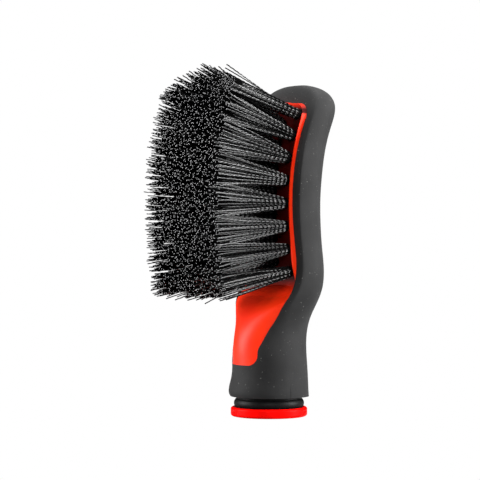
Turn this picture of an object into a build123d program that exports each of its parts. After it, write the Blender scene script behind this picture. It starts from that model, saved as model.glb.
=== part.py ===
from build123d import *
import math
import os

# Short wheel brush, standing on its end cap with the handle upright.
# Millimetres. +Z runs up the handle, the bristles point to -Y, +X is one side.
# The origin is the centre of the end cap's flat bottom face.

# Base: end cap, soft ring and the foot of the grip
CAP_RADIUS = 20.6
CAP_HEIGHT = 5.0
CAP_EDGE = 1.3
CAP_DISH_DEPTH = 0.5
DISH_PLAY = 0.2
RING_RADIUS = 18.9
RING_BORE = 16.0
RING_HEIGHT = 4.9
RING_BULGE = 2.2
RING_COLLAR = 17.4
GRIP_FOOT = 10.7
GRIP_WALL = 2.2
GRIP_TOP = 178.2
CROWN_THICKNESS = 5.2

# Hollow of the core and the plug of the cap that closes it
BORE_RADIUS = 13.0
BORE_TOP = 58.0
BORE_ROUND = 8.0
PLUG_WALL = 2.0
PLUG_TOP = 21.0
PLUG_SLOT = 2.4
SLOT_FLOOR = 2.0
BEAD_HEIGHT = 16.0
BEAD_SIZE = 0.6
BEAD_OVERLAP = 1.0

# Tuft plate: its face is two arcs that meet at the apex, bulging towards -Y
APEX_Z = 113.5
APEX_Y = -4.6
ARC_UP = 140.0
ARC_DOWN = 240.0
PLATE_HALF_WIDTH = 26.0
PLATE_TOP = 169.4
PLATE_CORNER = 9.0
PLATE_CROWN = 2.2

# Front opening of the grip below the plate, and the plane that parts the front from the back
WINDOW_FOOT = 28.0
WINDOW_CORNER = 5.0
WINDOW_RECESS = 0.3
PARTING_Z = 50.0
PARTING_LEAN = 6.2
ROOM = 300.0

# Tufts: rows along the face, columns across it (every other column is one row shorter), and their fan
COLUMNS = 5
ROWS = 8
COLUMN_PITCH = 11.25
FIRST_ROW = -35.7
ROW_PITCH = 12.05
BRISTLE_LENGTH = 50.6
FAN_RADIUS = 146.0
HOLE_RADIUS = 3.0
HOLE_DEPTH = 12.0
TUFT_RISE = 0.7
PEG_OVERLAP = 0.3
ROOT_INSET = 0.1
TIP_TOP = 54.0
TIP_FOOT = -40.0
TIP_ROUNDING = 9.0
TUFT_GAP = 0.25
TUFT_CHAMFER = 1.2
TUFT_REACH = 6.0
TRIM_ARC = 85.0
TRIM_BACK = 40.0

# Flat wire anchor that pins each folded tuft in its hole
ANCHOR_LENGTH = 6.8
ANCHOR_HEIGHT = 2.0
ANCHOR_THICKNESS = 0.45
ANCHOR_LIFT = 0.6

# Grip stations: height, half width, front y, back y, y of the widest line, squareness of the front
GRIP = [
    (GRIP_FOOT, 20.8, -20.8, 20.8, 0.0, 2.0),
    (20.0, 20.4, -20.5, 20.3, 0.0, 2.0),
    (31.0, 19.7, -19.9, 19.7, 0.0, 2.0),
    (42.0, 19.2, -19.2, 19.6, 0.2, 2.0),
    (51.0, 21.0, -16.0, 20.6, 1.2, 2.3),
    (60.0, 26.0, -10.2, 22.6, 3.8, 3.6),
    (69.0, 29.2, -3.2, 25.0, 6.4, 5.4),
    (79.0, 30.0, -0.6, 25.6, 6.8, 6.0),
    (92.0, 30.2, -1.4, 23.9, 6.0, 6.0),
    (104.0, 30.4, -2.6, 23.0, 4.9, 6.0),
    (116.0, 30.5, -3.0, 22.9, 4.6, 6.0),
    (129.0, 30.5, -2.2, 24.0, 5.5, 6.0),
    (143.0, 30.3, 0.1, 26.4, 7.7, 5.8),
    (155.0, 29.7, 3.5, 30.4, 11.4, 5.0),
    (163.5, 28.8, 6.6, 33.4, 15.0, 4.4),
    (168.5, 27.4, 8.5, 32.8, 17.2, 3.6),
    (172.5, 24.8, 10.0, 29.8, 18.0, 3.0),
    (175.6, 20.0, 11.5, 25.4, 17.6, 2.6),
    (177.4, 13.6, 13.1, 21.6, 17.2, 2.3),
    (GRIP_TOP, 6.0, 15.2, 18.8, 17.0, 2.0),
]
BACK_SQUARENESS = 2.25
SECTION_POINTS = 32

# Edge of the front opening, half width and height, from its straight foot up to the plate
WINDOW_EDGE = [(12.3, 35.0), (13.4, 39.5), (15.6, 46.0), (22.0, 57.5), (25.0, 64.0)]
PLATE_FOOT = 75.0

# Body that carries the plate's face: heights of its stations and its outline behind the face
NECK_TOP = 65.0
NECK_BACK = 30.0
FACE_STATIONS = (69.0, 79.0, 92.0, 104.0, 116.0, 129.0, 143.0, 155.0, 165.0, 174.0)
FACE_HALF_WIDTH = 31.0
FACE_BACK = 38.0
FACE_SHOULDER = 9.0
FACE_SQUARENESS = 8.0


def superellipse(angle, half_width, front, back, middle, squareness):
    """A point of a closed outline whose front and back halves have their own depth and squareness."""
    across, along = math.cos(angle), math.sin(angle)
    power = 2 / (BACK_SQUARENESS if along > 0 else squareness)
    depth = back - middle if along > 0 else middle - front
    x = math.copysign(abs(across) ** power, across) * half_width
    y = math.copysign(abs(along) ** power, along) * depth
    return x, middle + y


def section(station):
    """One horizontal outline of a body, as a closed smooth wire."""
    z, *shape = station
    step = 2 * math.pi / SECTION_POINTS
    outline = [superellipse(math.pi / 2 + i * step, *shape) for i in range(SECTION_POINTS)]
    points = [Vector(x, y, z) for x, y in outline]
    knots = [i / SECTION_POINTS for i in range(SECTION_POINTS + 1)]
    return Wire([Edge.make_spline(points, periodic=True, parameters=knots)])


def body(stations):
    """A smooth solid through a list of stations."""
    return Solid.make_loft([section(s) for s in stations])


def inset(station, wall):
    """A station moved inwards by the wall thickness."""
    z, half_width, front, back, middle, squareness = station
    return (z, half_width - wall, front + wall, back - wall, middle, squareness)


def core_stations():
    """The grip's stations moved in by its wall, from its floor to just under its crown."""
    stations = [inset(s, GRIP_WALL) for s in GRIP if s[0] < GRIP_TOP - CROWN_THICKNESS]
    return [(GRIP_FOOT + GRIP_WALL, *stations[0][1:])] + stations[1:]


def face_angle(s):
    """Upward tilt of the plate's face at arc length s above the apex, in radians."""
    return s / (ARC_UP if s > 0 else ARC_DOWN)


def face_point(x, s, height):
    """A point at a height off the plate, where x and s fan out as the bristles do."""
    radius = ARC_UP if s > 0 else ARC_DOWN
    a = face_angle(s)
    y = APEX_Y + radius - (radius + height) * math.cos(a)
    z = APEX_Z + (radius + height) * math.sin(a)
    return Vector(x * (1 + height / FAN_RADIUS), y, z)


def plate_front(z):
    """y of the plate's face at a height above the cap's bottom."""
    radius = ARC_UP if z > APEX_Z else ARC_DOWN
    return APEX_Y + radius - math.sqrt(radius ** 2 - (z - APEX_Z) ** 2)


def window_prism():
    """Front opening of the grip: a narrow foot that widens like a funnel to the whole plate."""
    foot = WINDOW_EDGE[0][0]
    shoulder = (PLATE_HALF_WIDTH, PLATE_FOOT)
    corner = (PLATE_HALF_WIDTH, PLATE_TOP - PLATE_CROWN)
    with BuildSketch(Plane.XZ) as outline:
        with BuildLine():
            Line((0, WINDOW_FOOT), (foot, WINDOW_FOOT))
            Line((foot, WINDOW_FOOT), WINDOW_EDGE[0])
            Spline(*WINDOW_EDGE, shoulder, tangents=[(0, 1), (0, 1)])
            Line(shoulder, corner)
            RadiusArc(corner, (0, PLATE_TOP), PLATE_HALF_WIDTH ** 2 / (2 * PLATE_CROWN))
            Line((0, PLATE_TOP), (0, WINDOW_FOOT))
        make_face()
        mirror(about=Plane.YZ)
        top = outline.vertices().filter_by(lambda v: abs(v.Y - corner[1]) < 0.01)
        fillet(top, PLATE_CORNER)
        low = outline.vertices().filter_by(lambda v: abs(v.Y - WINDOW_FOOT) < 0.01 and abs(v.X) > 1)
        fillet(low, WINDOW_CORNER)
    parting = Pos(0, 0, PARTING_Z) * Rot(-PARTING_LEAN, 0, 0)
    front_half = parting * Pos(0, -ROOM / 2, 0) * Box(ROOM, ROOM, ROOM)
    return extrude(outline.sketch.face(), amount=ROOM / 2, both=True) & front_half


def red_front():
    """Body whose front is the plate's face above and the slightly recessed neck below."""
    neck = [inset(s, WINDOW_RECESS) for s in GRIP if s[0] < NECK_TOP]
    stations = [(z, width, front, NECK_BACK, middle, n) for z, width, front, _, middle, n in neck]
    for z in FACE_STATIONS:
        front = plate_front(z)
        stations.append((z, FACE_HALF_WIDTH, front, FACE_BACK, front + FACE_SHOULDER, FACE_SQUARENESS))
    return body(stations)


def tuft_places():
    """Column, row, plate coordinates and lower and upper tip limit of every tuft."""
    places = []
    for column in range(COLUMNS):
        x = (column - (COLUMNS - 1) / 2) * COLUMN_PITCH
        between = column % 2
        rows = ROWS - between
        for row in range(rows):
            s = FIRST_ROW + (row + between / 2) * ROW_PITCH
            low = TIP_FOOT if row == 0 else s - ROW_PITCH / 2
            high = TIP_TOP if row == rows - 1 else s + ROW_PITCH / 2
            places.append((column, row, x, s, low, high))
    return places


def tip_limit(x, s):
    """Keeps a tip inside the block's outline, which is rounded at its upper corners."""
    return min(s, TIP_TOP - TIP_ROUNDING * (x / PLATE_HALF_WIDTH) ** 2)


def tuft_frame(x, s):
    """Plane on the plate's face with +Z along the tuft."""
    root = face_point(x, s, 0)
    return Plane(root, x_dir=(1, 0, 0), z_dir=face_point(x, s, 1) - root)


def anchor(x, s):
    """Flat wire piece across the bottom of a hole, biting a little into both of its walls."""
    low = -HOLE_DEPTH + ANCHOR_LIFT + ANCHOR_HEIGHT / 2
    return tuft_frame(x, s) * Pos(0, 0, low) * Box(ANCHOR_THICKNESS, ANCHOR_LENGTH, ANCHOR_HEIGHT)


def bore(x, s, length):
    """Round peg that fills a tuft's hole and stands out of it by a length."""
    peg = Cylinder(HOLE_RADIUS, HOLE_DEPTH + length, align=(Align.CENTER, Align.CENTER, Align.MIN))
    return tuft_frame(x, s) * Pos(0, 0, -HOLE_DEPTH) * peg


def trimmed_space():
    """Everything between the plate and the curved surface that the bristle tips are cut to."""
    arc = [face_point(0, i * TRIM_ARC / 2, BRISTLE_LENGTH) for i in range(-2, 3)]
    low, low_mid, apex, high_mid, high = arc
    with BuildSketch(Plane.YZ) as side:
        with BuildLine():
            ThreePointArc((low.Y, low.Z), (low_mid.Y, low_mid.Z), (apex.Y, apex.Z))
            ThreePointArc((apex.Y, apex.Z), (high_mid.Y, high_mid.Z), (high.Y, high.Z))
            Polyline((high.Y, high.Z), (TRIM_BACK, high.Z), (TRIM_BACK, low.Z), (low.Y, low.Z))
        make_face()
    return extrude(side.sketch, amount=ROOM / 2, both=True)


def tuft(x, s, low, high, space):
    """Root peg folded round its anchor, and bristles that fan out to fill their share of the tip face."""
    half_root = (HOLE_RADIUS - ROOT_INSET) * math.sqrt(0.5)
    half_width = (COLUMN_PITCH - TUFT_GAP) / 2
    corners = [(1, 1), (-1, 1), (-1, -1), (1, -1)]
    base = face_point(x, s, TUFT_RISE)
    along = (face_point(x, s + 1, 0) - face_point(x, s - 1, 0)).normalized()
    root = [base + (Vector(1, 0, 0) * u + along * v) * half_root for u, v in corners]
    reach = BRISTLE_LENGTH + TUFT_REACH
    ends = [low + TUFT_GAP / 2, tip_limit(x, high - TUFT_GAP / 2)]
    tips = [face_point(x + u * half_width, ends[v > 0], reach) for u, v in corners]
    fan = Solid.make_loft([Wire.make_polygon(root), Wire.make_polygon(tips)], ruled=True)
    fan = chamfer(fan.edges().sort_by(Edge.length)[-4:], TUFT_CHAMFER)
    return (fan & space) + bore(x, s, TUFT_RISE + PEG_OVERLAP) - anchor(x, s)


def core_foot():
    """Short stub of the core through the grip's floor and the ring, down to the cap's dish."""
    stub = Cylinder(RING_BORE, GRIP_FOOT, align=(Align.CENTER, Align.CENTER, Align.MIN))
    return Pos(0, 0, CAP_HEIGHT - CAP_DISH_DEPTH) * stub


def grip_overmould(outer, inner, window):
    """Soft black shell moulded over the core, open in front, with a floor under the core."""
    return outer - inner - window - core_foot()


def core_body(inner, window, places):
    """Red moulding: plate with its tuft holes, neck and hollow handle."""
    solid = inner + core_foot() + (red_front() & window)
    hollow = Cylinder(BORE_RADIUS, BORE_TOP, align=(Align.CENTER, Align.CENTER, Align.MIN))
    hollow = fillet(hollow.edges().group_by(Axis.Z)[-1], BORE_ROUND)
    holes = [bore(x, s, TUFT_REACH) + anchor(x, s) for _, _, x, s, _, _ in places]
    return solid - [hollow + bead(BORE_RADIUS - BEAD_OVERLAP), *holes]


def bead(inner_radius):
    """Ring of the snap bead on the plug, and of the groove that it springs into."""
    tip = BORE_RADIUS + BEAD_SIZE
    with BuildSketch(Plane.XZ) as profile:
        Polygon(
            (inner_radius, BEAD_HEIGHT - BEAD_SIZE * 2),
            (BORE_RADIUS, BEAD_HEIGHT - BEAD_SIZE * 2),
            (tip, BEAD_HEIGHT),
            (BORE_RADIUS, BEAD_HEIGHT + BEAD_SIZE * 2),
            (inner_radius, BEAD_HEIGHT + BEAD_SIZE * 2),
            align=None,
        )
    return revolve(profile.sketch, Axis.Z)


def end_cap():
    """Red base disc with a shallow dish for the ring and a slotted snap plug."""
    disc = Cylinder(CAP_RADIUS, CAP_HEIGHT, align=(Align.CENTER, Align.CENTER, Align.MIN))
    disc = fillet(disc.edges(), CAP_EDGE)
    dish = Pos(0, 0, CAP_HEIGHT - CAP_DISH_DEPTH) * Cylinder(
        RING_RADIUS + DISH_PLAY, CAP_HEIGHT, align=(Align.CENTER, Align.CENTER, Align.MIN)
    )
    plug = Cylinder(BORE_RADIUS, PLUG_TOP, align=(Align.CENTER, Align.CENTER, Align.MIN))
    plug = plug + bead(BORE_RADIUS - PLUG_WALL)
    inside = Pos(0, 0, CAP_HEIGHT - CAP_DISH_DEPTH) * Cylinder(
        BORE_RADIUS - PLUG_WALL, PLUG_TOP, align=(Align.CENTER, Align.CENTER, Align.MIN)
    )
    slot = Pos(0, 0, CAP_HEIGHT + SLOT_FLOOR) * Box(
        4 * BORE_RADIUS, PLUG_SLOT, PLUG_TOP, align=(Align.CENTER, Align.CENTER, Align.MIN)
    )
    return disc - dish + (plug - inside - slot - Rot(0, 0, 90) * slot)


def grip_ring():
    """Soft ring with a bulging outer face and a collar that reaches up to the grip's foot."""
    low = CAP_HEIGHT - CAP_DISH_DEPTH
    high = low + RING_HEIGHT
    side = RING_RADIUS - RING_BULGE / 2
    with BuildSketch(Plane.XZ) as profile:
        with BuildLine():
            Polyline(
                (side, low),
                (RING_BORE, low),
                (RING_BORE, GRIP_FOOT),
                (RING_COLLAR, GRIP_FOOT),
                (RING_COLLAR, high),
                (side, high),
            )
            ThreePointArc((side, high), (RING_RADIUS, (low + high) / 2), (side, low))
        make_face()
    return revolve(profile.sketch, Axis.Z)


def main():
    os.makedirs("parts", exist_ok=True)
    outer = body(GRIP)
    inner = body(core_stations())
    window = window_prism()
    places = tuft_places()
    space = trimmed_space()
    nodes = {
        "grip_overmould": grip_overmould(outer, inner, window),
        "core_body": core_body(inner, window, places),
        "end_cap": end_cap(),
        "grip_ring": grip_ring(),
        "tuft_anchors": Compound([anchor(x, s) for _, _, x, s, _, _ in places]),
    }
    for column, row, x, s, low, high in places:
        nodes[f"tuft_{column + 1}_{row + 1}"] = tuft(x, s, low, high, space)
    for name, shape in nodes.items():
        export_step(shape, f"parts/{name}.step")


main()
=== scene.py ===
import math

import bpy
import numpy as np
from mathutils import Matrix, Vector


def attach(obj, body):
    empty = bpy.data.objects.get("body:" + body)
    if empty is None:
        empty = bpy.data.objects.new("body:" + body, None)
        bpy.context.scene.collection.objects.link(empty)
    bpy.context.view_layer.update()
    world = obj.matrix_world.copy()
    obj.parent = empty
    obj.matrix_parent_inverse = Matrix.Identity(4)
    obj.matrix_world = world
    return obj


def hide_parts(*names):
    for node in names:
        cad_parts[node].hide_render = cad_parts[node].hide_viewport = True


MM = 0.001

# The tuft plate's face, as the design has it: two arcs that meet at the apex (mm)
APEX_Z = 113.5
APEX_Y = -4.6
ARC_UP = 140.0
ARC_DOWN = 240.0

# Tufts: rows along the face, columns across it, and how far the bristles fan out (mm)
COLUMNS = 5
ROWS = 8
COLUMN_PITCH = 11.25
FIRST_ROW = -35.7
ROW_PITCH = 12.05
BRISTLE_LENGTH = 50.6
TIP_TOP = 54.0
TIP_FOOT = -40.0
TIP_ROUNDING = 9.0
PLATE_HALF_WIDTH = 26.0
FAN_RADIUS = 146.0

# Bristles: how many, their section, the bundle in the hole and how they fan out of it (mm)
BRISTLES_PER_TUFT = 70
BRISTLE_RADIUS = 0.3
BRISTLE_SIDES = 6
BRISTLE_POINTS = 108
BUNDLE_RADIUS = 2.75
HOLE_START = -3.0
TIP_SPREAD = 1.02
SPREAD_CURVE = 0.75

# What makes one bristle differ from the next (mm)
TIP_SCATTER = 0.375
TRIM_SCATTER = 0.4
BEND = 0.5
STRAY_SHARE = 0.03
STRAY_SIZE = 2.0
STRAY_LENGTH = 1.6
END_SCATTER = 1.2
SEED = 41

# Crimp: its wave (mm), the way it leans (radians), and how far it has died out at the tip (share)
CRIMP_PITCH = 3.1
CRIMP_PITCH_SCATTER = 0.02
CRIMP_PHASE_SCATTER = 0.25
CRIMP_SIZE = 0.22
CRIMP_FADE = 0.6
CRIMP_LEAN = 0.35
CRIMP_LEAN_SCATTER = 0.5
CRIMP_START = -1.0
CRIMP_RISE = 3.0

# Painted shade on a bristle, as dark steps: in the troughs of the crimp (depth as a share of the wave,
# and how much deeper at the tip), near the plate, and below most tips that are not on the outside (mm)
TROUGH_SHADE = 0.25
TROUGH_SHADE_FADE = 1.15
ROOT_SHADE = 2.2
TIP_SHADE = 9.0
TIP_SHADE_SHARE = 0.7
TIP_SHADE_HALF_WIDTH = 25.0

# Grey, roughness and gloss of the bristles' shades, and the colour of their cut ends, paler as a painted
# highlight. The first shade is also that of the painted shade steps. A bristle draws its shade from more
# numbers than there are shades, and the spare number stands for the last shade.
BRISTLE_SHADES = [(0.001, 0.5, 0.02), (0.006, 0.38, 0.5), (0.012, 0.34, 1.0)]
SHADE_DRAWS = 4
BRISTLE_BLUE = 1.03
CUT_END_HIGHLIGHT = (0.2, 0.2, 0.205)
CUT_END_ROUGHNESS = 0.45

# Grain of the mouldings: depth in metres, and waves per metre and strength of each
GRAIN_DEPTH = 0.0002
GRIP_GRAIN = (2600.0, 0.25)
RED_GRAIN = (1500.0, 0.08)
RING_GRAIN = (900.0, 0.06)

# Soft grip: its two shades and dust, their waves per metre, and the noise levels between them
GRIP_DARK = (0.014, 0.014, 0.0143)
GRIP_PALE = (0.020, 0.020, 0.0203)
GRIP_DUST = (0.09, 0.09, 0.085)
GRIP_CLOUDS = 60.0
GRIP_CLOUD_LEVELS = (0.35, 0.7)
GRIP_SPECKS = 900.0
GRIP_SPECK_LEVELS = (0.735, 0.76)
GRIP_ROUGHNESS = 0.7
GRIP_GLOSS = 0.14
GRIP_SHEEN = 0.04

# Red mouldings: deep and bright shade and gloss of each, waves of the clouds and their noise levels
RED_CORE = ((0.90, 0.018, 0.003), (0.98, 0.040, 0.005), 0.12)
RED_CAP = ((0.92, 0.001, 0.0005), (0.98, 0.002, 0.0008), 0.03)
RED_ROUGHNESS = 0.42
RED_CLOUDS = 45.0
RED_CLOUD_LEVELS = (0.3, 0.75)

RING_BLACK = (0.003, 0.003, 0.003)
RING_ROUGHNESS = 0.5
RING_GLOSS = 0.1

# Painted areas: the shade between the tufts, and the parting line of the grip's foot. An edge is an
# axis, whether both sides of the object count, and where the area starts and is full (mm).
PAINTED_SHADE_RED = (0.04, 0.0005, 0.0003)
PAINTED_SHADE_EDGES = [("X", True, 25.7, 25.3), ("Z", False, 66, 74), ("Z", False, 168, 164)]
PARTING_LINE = (0.003, 0.003, 0.003)
PARTING_EDGES = [("Y", True, 0.35, 0.15), ("Z", False, 18, 14)]

# Sockets of the Mix node when it mixes colours
MIX_AMOUNT = 0
MIX_UNDER = 6
MIX_OVER = 7
MIX_RESULT = 2

# Light of the white room on the brush, and the floor: its size (m) and how much light it gives back
ROOM_LIGHT = 0.045
FLOOR_SIZE = 8.0
FLOOR_PALE = (0.3, 0.3, 0.3)
FLOOR_ROUGHNESS = 0.9

# Lamps round the brush: name, azimuth (degrees), height and size (m) and power (W), and one above it
LAMPS = [
    ("left", -35, 0.25, (0.4, 0.6), 14),
    ("right", 140, 0.30, (0.2, 0.7), 21),
    ("front", 60, 0.40, (0.4, 0.4), 5),
]
LAMP_DISTANCE = 0.9
LAMP_AIM = (0, 0, 0.1)
TOP_LAMP = ("top", (0, 0.1, 1.0), (0.4, 0.4), 15)

# Camera: a level view from the front right (m, and the lens in mm)
CAMERA_AZIMUTH = math.radians(57.5)
CAMERA_DISTANCE = 0.95
CAMERA_HEIGHT = 0.0946
CAMERA_LEFT = 0.0156
CAMERA_LENS = 132.2


def node_material(name, colour, roughness, **sockets):
    """New material whose Principled shader has plain values, returned with that shader."""
    material = bpy.data.materials.new(name)
    material.use_nodes = True
    shader = material.node_tree.nodes["Principled BSDF"]
    shader.inputs["Base Color"].default_value = (*colour, 1)
    shader.inputs["Roughness"].default_value = roughness
    for socket, value in sockets.items():
        shader.inputs[socket.replace("_", " ")].default_value = value
    return material, shader


def add(material, kind, **values):
    """New shader node with its settings and input values."""
    node = material.node_tree.nodes.new(kind)
    for key, value in values.items():
        if key in node.inputs:
            node.inputs[key].default_value = value
        else:
            setattr(node, key, value)
    return node


def link(material, source, target):
    """Joins an output to an input."""
    material.node_tree.links.new(source, target)


def noise(material, scale, detail=3.0):
    """Object-space noise, its scale in waves per metre."""
    place = add(material, "ShaderNodeTexCoord")
    texture = add(material, "ShaderNodeTexNoise", Scale=scale, Detail=detail)
    link(material, place.outputs["Object"], texture.inputs["Vector"])
    return texture


def ramp(material, texture, levels, low_colour, high_colour):
    """A texture's value turned into a colour: one colour below the two levels, another above them."""
    node = add(material, "ShaderNodeValToRGB")
    for element, level, colour in zip(node.color_ramp.elements, levels, (low_colour, high_colour)):
        element.position = level
        element.color = (*colour, 1)
    link(material, texture.outputs["Fac"], node.inputs["Fac"])
    return node.outputs["Color"]


def cover(material, amount, under, colour):
    """A plain colour laid over another one, by an amount that varies."""
    mix = add(material, "ShaderNodeMix", data_type="RGBA")
    link(material, amount, mix.inputs[MIX_AMOUNT])
    link(material, under, mix.inputs[MIX_UNDER])
    mix.inputs[MIX_OVER].default_value = (*colour, 1)
    return mix.outputs[MIX_RESULT]


def add_grain(material, shader, grain):
    """Fine bumps of a moulded surface."""
    scale, strength = grain
    node = add(material, "ShaderNodeBump", Strength=strength, Distance=GRAIN_DEPTH)
    link(material, noise(material, scale, 2.0).outputs["Fac"], node.inputs["Height"])
    link(material, node.outputs["Normal"], shader.inputs["Normal"])


def paint_area(material, shader, colour, edges):
    """Paints a colour over the area inside all the edges."""
    place = add(material, "ShaderNodeTexCoord")
    split = add(material, "ShaderNodeSeparateXYZ")
    link(material, place.outputs["Object"], split.inputs[0])
    area = None
    for axis, mirrored, start, full in edges:
        source = split.outputs[axis]
        if mirrored:
            side = add(material, "ShaderNodeMath", operation="ABSOLUTE")
            link(material, source, side.inputs[0])
            source = side.outputs[0]
        edge = add(material, "ShaderNodeMapRange", **{"From Min": start * MM, "From Max": full * MM})
        link(material, source, edge.inputs["Value"])
        if area is None:
            area = edge.outputs[0]
            continue
        both = add(material, "ShaderNodeMath", operation="MULTIPLY")
        link(material, area, both.inputs[0])
        link(material, edge.outputs[0], both.inputs[1])
        area = both.outputs[0]
    under = shader.inputs["Base Color"].links[0].from_socket
    link(material, cover(material, area, under, colour), shader.inputs["Base Color"])


def soft_grip_material():
    """Matte soft-touch rubber: fine grain, faint clouding, pale specks of dust and a parting line."""
    sockets = {"Specular_IOR_Level": GRIP_GLOSS, "Sheen_Weight": GRIP_SHEEN}
    material, shader = node_material("soft_grip", GRIP_DARK, GRIP_ROUGHNESS, **sockets)
    cloud = ramp(material, noise(material, GRIP_CLOUDS), GRIP_CLOUD_LEVELS, GRIP_DARK, GRIP_PALE)
    specks = ramp(material, noise(material, GRIP_SPECKS, 1.0), GRIP_SPECK_LEVELS, (0, 0, 0), (1, 1, 1))
    link(material, cover(material, specks, cloud, GRIP_DUST), shader.inputs["Base Color"])
    paint_area(material, shader, PARTING_LINE, PARTING_EDGES)
    add_grain(material, shader, GRIP_GRAIN)
    return material


def red_plastic_material(name, deep, bright, gloss):
    """Satin polypropylene, a little uneven in colour, returned with its shader."""
    material, shader = node_material(name, bright, RED_ROUGHNESS, Specular_IOR_Level=gloss)
    colour = ramp(material, noise(material, RED_CLOUDS), RED_CLOUD_LEVELS, deep, bright)
    link(material, colour, shader.inputs["Base Color"])
    add_grain(material, shader, RED_GRAIN)
    return material, shader


def ring_material():
    """Smooth black rubber."""
    material, shader = node_material("ring_rubber", RING_BLACK, RING_ROUGHNESS, Specular_IOR_Level=RING_GLOSS)
    add_grain(material, shader, RING_GRAIN)
    return material


def bristle_materials():
    """Black nylon in a few shades, and the cut ends, painted paler as a highlight."""
    shades = []
    for i, (grey, roughness, gloss) in enumerate(BRISTLE_SHADES):
        colour = (grey, grey, grey * BRISTLE_BLUE)
        shades.append(node_material(f"bristle_{i + 1}", colour, roughness, Specular_IOR_Level=gloss)[0])
    # Cut ends: a paler grey than the bristles, a painted highlight
    shades.append(node_material("bristle_cut_end_highlight", CUT_END_HIGHLIGHT, CUT_END_ROUGHNESS)[0])
    return shades


def face_point(x, s, height):
    """A point at a height off the plate, where x and s fan out as the bristles do. Arrays, in mm."""
    radius = np.where(s > 0, ARC_UP, ARC_DOWN)
    angle = s / radius
    y = APEX_Y + radius - (radius + height) * np.cos(angle)
    z = APEX_Z + (radius + height) * np.sin(angle)
    return np.stack([x * (1 + height / FAN_RADIUS), y, z], axis=-1)


def tuft_places():
    """Column, row, plate coordinates and lower and upper tip limit of every tuft."""
    places = []
    for column in range(COLUMNS):
        x = (column - (COLUMNS - 1) / 2) * COLUMN_PITCH
        between = column % 2
        rows = ROWS - between
        for row in range(rows):
            s = FIRST_ROW + (row + between / 2) * ROW_PITCH
            low = TIP_FOOT if row == 0 else s - ROW_PITCH / 2
            high = TIP_TOP if row == rows - 1 else s + ROW_PITCH / 2
            places.append((column, row, x, s, low, high))
    return places


def bristle_paths(random, x, s, low, high):
    """Centre lines of one tuft's bristles, in mm: packed in the hole, fanned out and crimped.

    Also says which of their steps get painted shade. In the hole the bristles lie on a spiral of the golden
    angle, and at the tips the disc becomes the square that the tuft fills.
    """
    n = BRISTLES_PER_TUFT
    k = np.arange(n) + 0.5
    radius, turn = np.sqrt(k / n), k * math.pi * (3 - math.sqrt(5))
    u, v = radius * np.cos(turn), radius * np.sin(turn)
    square = radius / np.maximum(np.abs(u), np.abs(v))
    tip_x = u * square * COLUMN_PITCH / 2 * TIP_SPREAD + random.normal(0, TIP_SCATTER, n)
    outwards = int(high == TIP_TOP) - int(low == TIP_FOOT)
    top = TIP_TOP - TIP_ROUNDING * ((x + tip_x) / PLATE_HALF_WIDTH) ** 2
    high = np.minimum(high, top)
    tip_s = (low + high) / 2 - s + v * square * (high - low) / 2 * TIP_SPREAD
    tip_s += random.normal(0, TIP_SCATTER, n)
    tip_s += np.abs(random.normal(0, END_SCATTER, n)) * outwards
    stray = random.random(n) < STRAY_SHARE
    tip_x += stray * random.normal(0, STRAY_SIZE, n)
    tip_s += stray * random.normal(0, STRAY_SIZE, n)
    length = BRISTLE_LENGTH + random.normal(0, TRIM_SCATTER, n) + stray * random.random(n) * STRAY_LENGTH

    t = np.linspace(0, 1, BRISTLE_POINTS)[None, :]
    height = HOLE_START + (length[:, None] - HOLE_START) * t
    spread = np.clip(height / BRISTLE_LENGTH, 0, None) ** SPREAD_CURVE
    bend = np.sin(math.pi * t) * random.normal(0, BEND, (2, n))[:, :, None]
    px = u[:, None] * BUNDLE_RADIUS * (1 - spread) + tip_x[:, None] * spread + bend[0] * spread
    ps = v[:, None] * BUNDLE_RADIUS * (1 - spread) + tip_s[:, None] * spread + bend[1] * spread

    pitch_of = CRIMP_PITCH * (1 + random.normal(0, CRIMP_PITCH_SCATTER, n))[:, None]
    phase = random.random() * 2 * math.pi + random.normal(0, CRIMP_PHASE_SCATTER, n)[:, None]
    wave = np.sin(2 * math.pi * height / pitch_of + phase)
    # Painted shade: steps in the crimp's troughs, near the plate and below most inner tips get the darkest
    # shade
    inside = (np.abs(x + tip_x) < TIP_SHADE_HALF_WIDTH) & (random.random(n) < TIP_SHADE_SHARE)
    dark_tip = inside[:, None] & (height > length[:, None] - TIP_SHADE)
    trough = wave < -TROUGH_SHADE - TROUGH_SHADE_FADE * t
    painted_shade = trough | (height < ROOT_SHADE) | dark_tip
    wave = wave * CRIMP_SIZE * (1 - CRIMP_FADE * t)
    wave = wave * np.clip((height - CRIMP_START) / CRIMP_RISE, 0, 1)
    lean = CRIMP_LEAN + random.normal(0, CRIMP_LEAN_SCATTER, n)[:, None]
    paths = face_point(x + px + wave * np.cos(lean), s + ps + wave * np.sin(lean), height)
    return paths, painted_shade[:, 1:]


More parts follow.
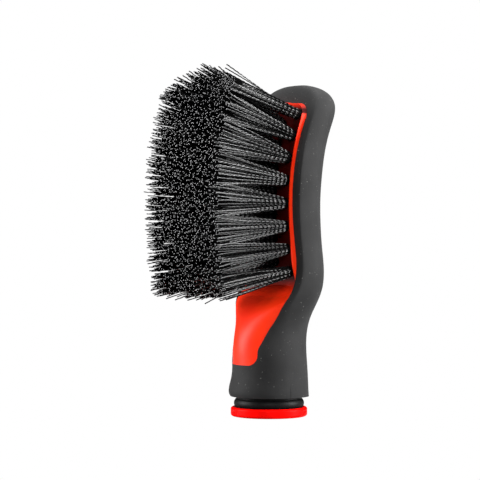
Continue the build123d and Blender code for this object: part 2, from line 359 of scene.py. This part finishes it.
def bristle_mesh(name, paths, painted_shade, shades, across, along):
    """Thin tubes along the centre lines, closed at both ends, as one mesh.

    Each tube's faces have its shade's material, the steps with painted shade the first one, and the cut
    ends, painted paler as a highlight, the last.
    """
    count, points, _ = paths.shape
    sides = BRISTLE_SIDES
    a = np.arange(sides) * 2 * math.pi / sides
    ring = (np.cos(a)[:, None] * across + np.sin(a)[:, None] * along) * BRISTLE_RADIUS
    verts = (paths[:, :, None, :] + ring[None, None]).reshape(-1, 3) * MM

    start = (np.arange(count) * points * sides)[:, None, None]
    level = (np.arange(points - 1) * sides)[None, :, None]
    side = np.arange(sides)[None, None, :]
    after = (side + 1) % sides
    low = start + level
    quads = np.stack([low + side, low + after, low + sides + after, low + sides + side], axis=-1)
    quads = quads.reshape(-1, 4)
    first = (np.arange(count) * points * sides)[:, None]
    roots = first + np.arange(sides)[None, ::-1]
    tips = first + (points - 1) * sides + np.arange(sides)[None, :]
    ends = np.concatenate([roots, tips])

    mesh = bpy.data.meshes.new(name)
    mesh.vertices.add(len(verts))
    mesh.vertices.foreach_set("co", verts.ravel())
    loops = np.concatenate([quads.ravel(), ends.ravel()])
    mesh.loops.add(len(loops))
    mesh.loops.foreach_set("vertex_index", loops.astype(np.int32))
    starts = np.concatenate([np.arange(len(quads)) * 4, quads.size + np.arange(len(ends)) * sides])
    mesh.polygons.add(len(starts))
    mesh.polygons.foreach_set("loop_start", starts.astype(np.int32))
    # Steps with painted shade take the first, darkest material
    slots = np.repeat(np.where(painted_shade, 0, shades[:, None]).ravel(), sides)
    # The cut ends take the last material, the painted highlight
    slots = np.concatenate([slots, shades, np.full(count, len(BRISTLE_SHADES))])
    mesh.polygons.foreach_set("material_index", slots.astype(np.int32))
    smooth = np.concatenate([np.ones(len(quads), bool), np.zeros(len(ends), bool)])
    mesh.polygons.foreach_set("use_smooth", smooth)
    mesh.update(calc_edges=True)
    mesh.validate()
    return mesh


def make_bristles():
    """The bristles of every tuft, each bundle in its CAD tuft's place."""
    materials = bristle_materials()
    random = np.random.default_rng(SEED)
    for column, row, x, s, low, high in tuft_places():
        name = f"bristles_{column + 1}_{row + 1}"
        paths, painted_shade = bristle_paths(random, x, s, low, high)
        draws = random.integers(0, SHADE_DRAWS, BRISTLES_PER_TUFT)
        shades = np.minimum(draws, len(BRISTLE_SHADES) - 1)
        near = [(x, s, 0), (x + 1, s, 0), (x, s + 1, 0)]
        root, beside, above = [face_point(*np.array(place, float)) for place in near]
        along = (above - root) / np.linalg.norm(above - root)
        mesh = bristle_mesh(name, paths, painted_shade, shades, beside - root, along)
        for material in materials:
            mesh.materials.append(material)
        tuft = bpy.data.objects.new(name, mesh)
        bpy.context.collection.objects.link(tuft)
        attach(tuft, "root")
        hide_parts(f"tuft_{column + 1}_{row + 1}")


def dress(node, material):
    """Gives a CAD node its finished material."""
    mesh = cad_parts[node].data
    mesh.materials.clear()
    mesh.materials.append(material)


def area_light(name, place, size, power):
    """Soft lamp that faces the brush."""
    light = bpy.data.lights.new(name, "AREA")
    light.shape = "RECTANGLE"
    light.size, light.size_y = size
    light.energy = power
    lamp = bpy.data.objects.new(name, light)
    bpy.context.collection.objects.link(lamp)
    lamp.location = place
    lamp.rotation_euler = (Vector(LAMP_AIM) - Vector(place)).to_track_quat("-Z", "Y").to_euler()


def around(azimuth, distance, height):
    """A place at a compass angle round the brush, as the camera's azimuth counts it."""
    a = math.radians(azimuth)
    return (distance * math.sin(a), -distance * math.cos(a), height)


def show_white(owner, shader, kind, target):
    """Shows pure white to the camera in place of a shader, which still lights the brush."""
    white = add(owner, kind, Color=(1, 1, 1, 1), Strength=1.0)
    seen = add(owner, "ShaderNodeLightPath")
    mix = add(owner, "ShaderNodeMixShader")
    link(owner, seen.outputs["Is Camera Ray"], mix.inputs[0])
    link(owner, shader.outputs[0], mix.inputs[1])
    link(owner, white.outputs[0], mix.inputs[2])
    link(owner, mix.outputs[0], target.inputs["Surface"])


def make_studio():
    """White room, white floor and large soft lamps."""
    world = bpy.data.worlds.new("studio")
    world.use_nodes = True
    light = world.node_tree.nodes["Background"]
    light.inputs["Color"].default_value = (1, 1, 1, 1)
    light.inputs["Strength"].default_value = ROOM_LIGHT
    show_white(world, light, "ShaderNodeBackground", world.node_tree.nodes["World Output"])
    bpy.context.scene.world = world
    make_floor()
    for name, azimuth, height, size, power in LAMPS:
        area_light(name, around(azimuth, LAMP_DISTANCE, height), size, power)
    area_light(*TOP_LAMP)


def make_floor():
    """Plain white floor."""
    half = FLOOR_SIZE / 2
    corners = [(-half, -half, 0), (half, -half, 0), (half, half, 0), (-half, half, 0)]
    mesh = bpy.data.meshes.new("floor")
    mesh.from_pydata(corners, [], [(0, 1, 2, 3)])
    material, shader = node_material("pale_floor", FLOOR_PALE, FLOOR_ROUGHNESS, Specular_IOR_Level=0.0)
    show_white(material, shader, "ShaderNodeEmission", material.node_tree.nodes["Material Output"])
    mesh.materials.append(material)
    floor = bpy.data.objects.new("floor", mesh)
    bpy.context.collection.objects.link(floor)


def make_colours():
    """Plain display transform, so that the white room and the red stay as bright as they are."""
    bpy.context.scene.view_settings.view_transform = "Standard"


def make_camera():
    """Level camera, with the brush a little off the middle of its view."""
    camera = bpy.data.objects.new("camera", bpy.data.cameras.new("camera"))
    bpy.context.collection.objects.link(camera)
    right = Vector((math.cos(CAMERA_AZIMUTH), math.sin(CAMERA_AZIMUTH), 0))
    towards = Vector((math.sin(CAMERA_AZIMUTH), -math.cos(CAMERA_AZIMUTH), 0))
    camera.location = towards * CAMERA_DISTANCE - right * CAMERA_LEFT + Vector((0, 0, CAMERA_HEIGHT))
    camera.rotation_euler = (math.pi / 2, 0, CAMERA_AZIMUTH)
    camera.data.lens = CAMERA_LENS
    bpy.context.scene.camera = camera


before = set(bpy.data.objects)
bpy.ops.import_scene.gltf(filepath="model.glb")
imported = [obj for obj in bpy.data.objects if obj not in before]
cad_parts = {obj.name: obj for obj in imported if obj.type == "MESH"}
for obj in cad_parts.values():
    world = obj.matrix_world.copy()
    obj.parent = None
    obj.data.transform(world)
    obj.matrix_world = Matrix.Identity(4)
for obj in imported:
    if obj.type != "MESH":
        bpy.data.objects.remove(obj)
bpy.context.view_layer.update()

make_camera()
make_colours()
make_studio()
dress("grip_overmould", soft_grip_material())
red_core, core_shader = red_plastic_material("red_core", *RED_CORE)
# Painted shade: the core's plate is darker red between the tufts
paint_area(red_core, core_shader, PAINTED_SHADE_RED, PAINTED_SHADE_EDGES)
dress("core_body", red_core)
dress("end_cap", red_plastic_material("red_cap", *RED_CAP)[0])
dress("grip_ring", ring_material())
make_bristles()
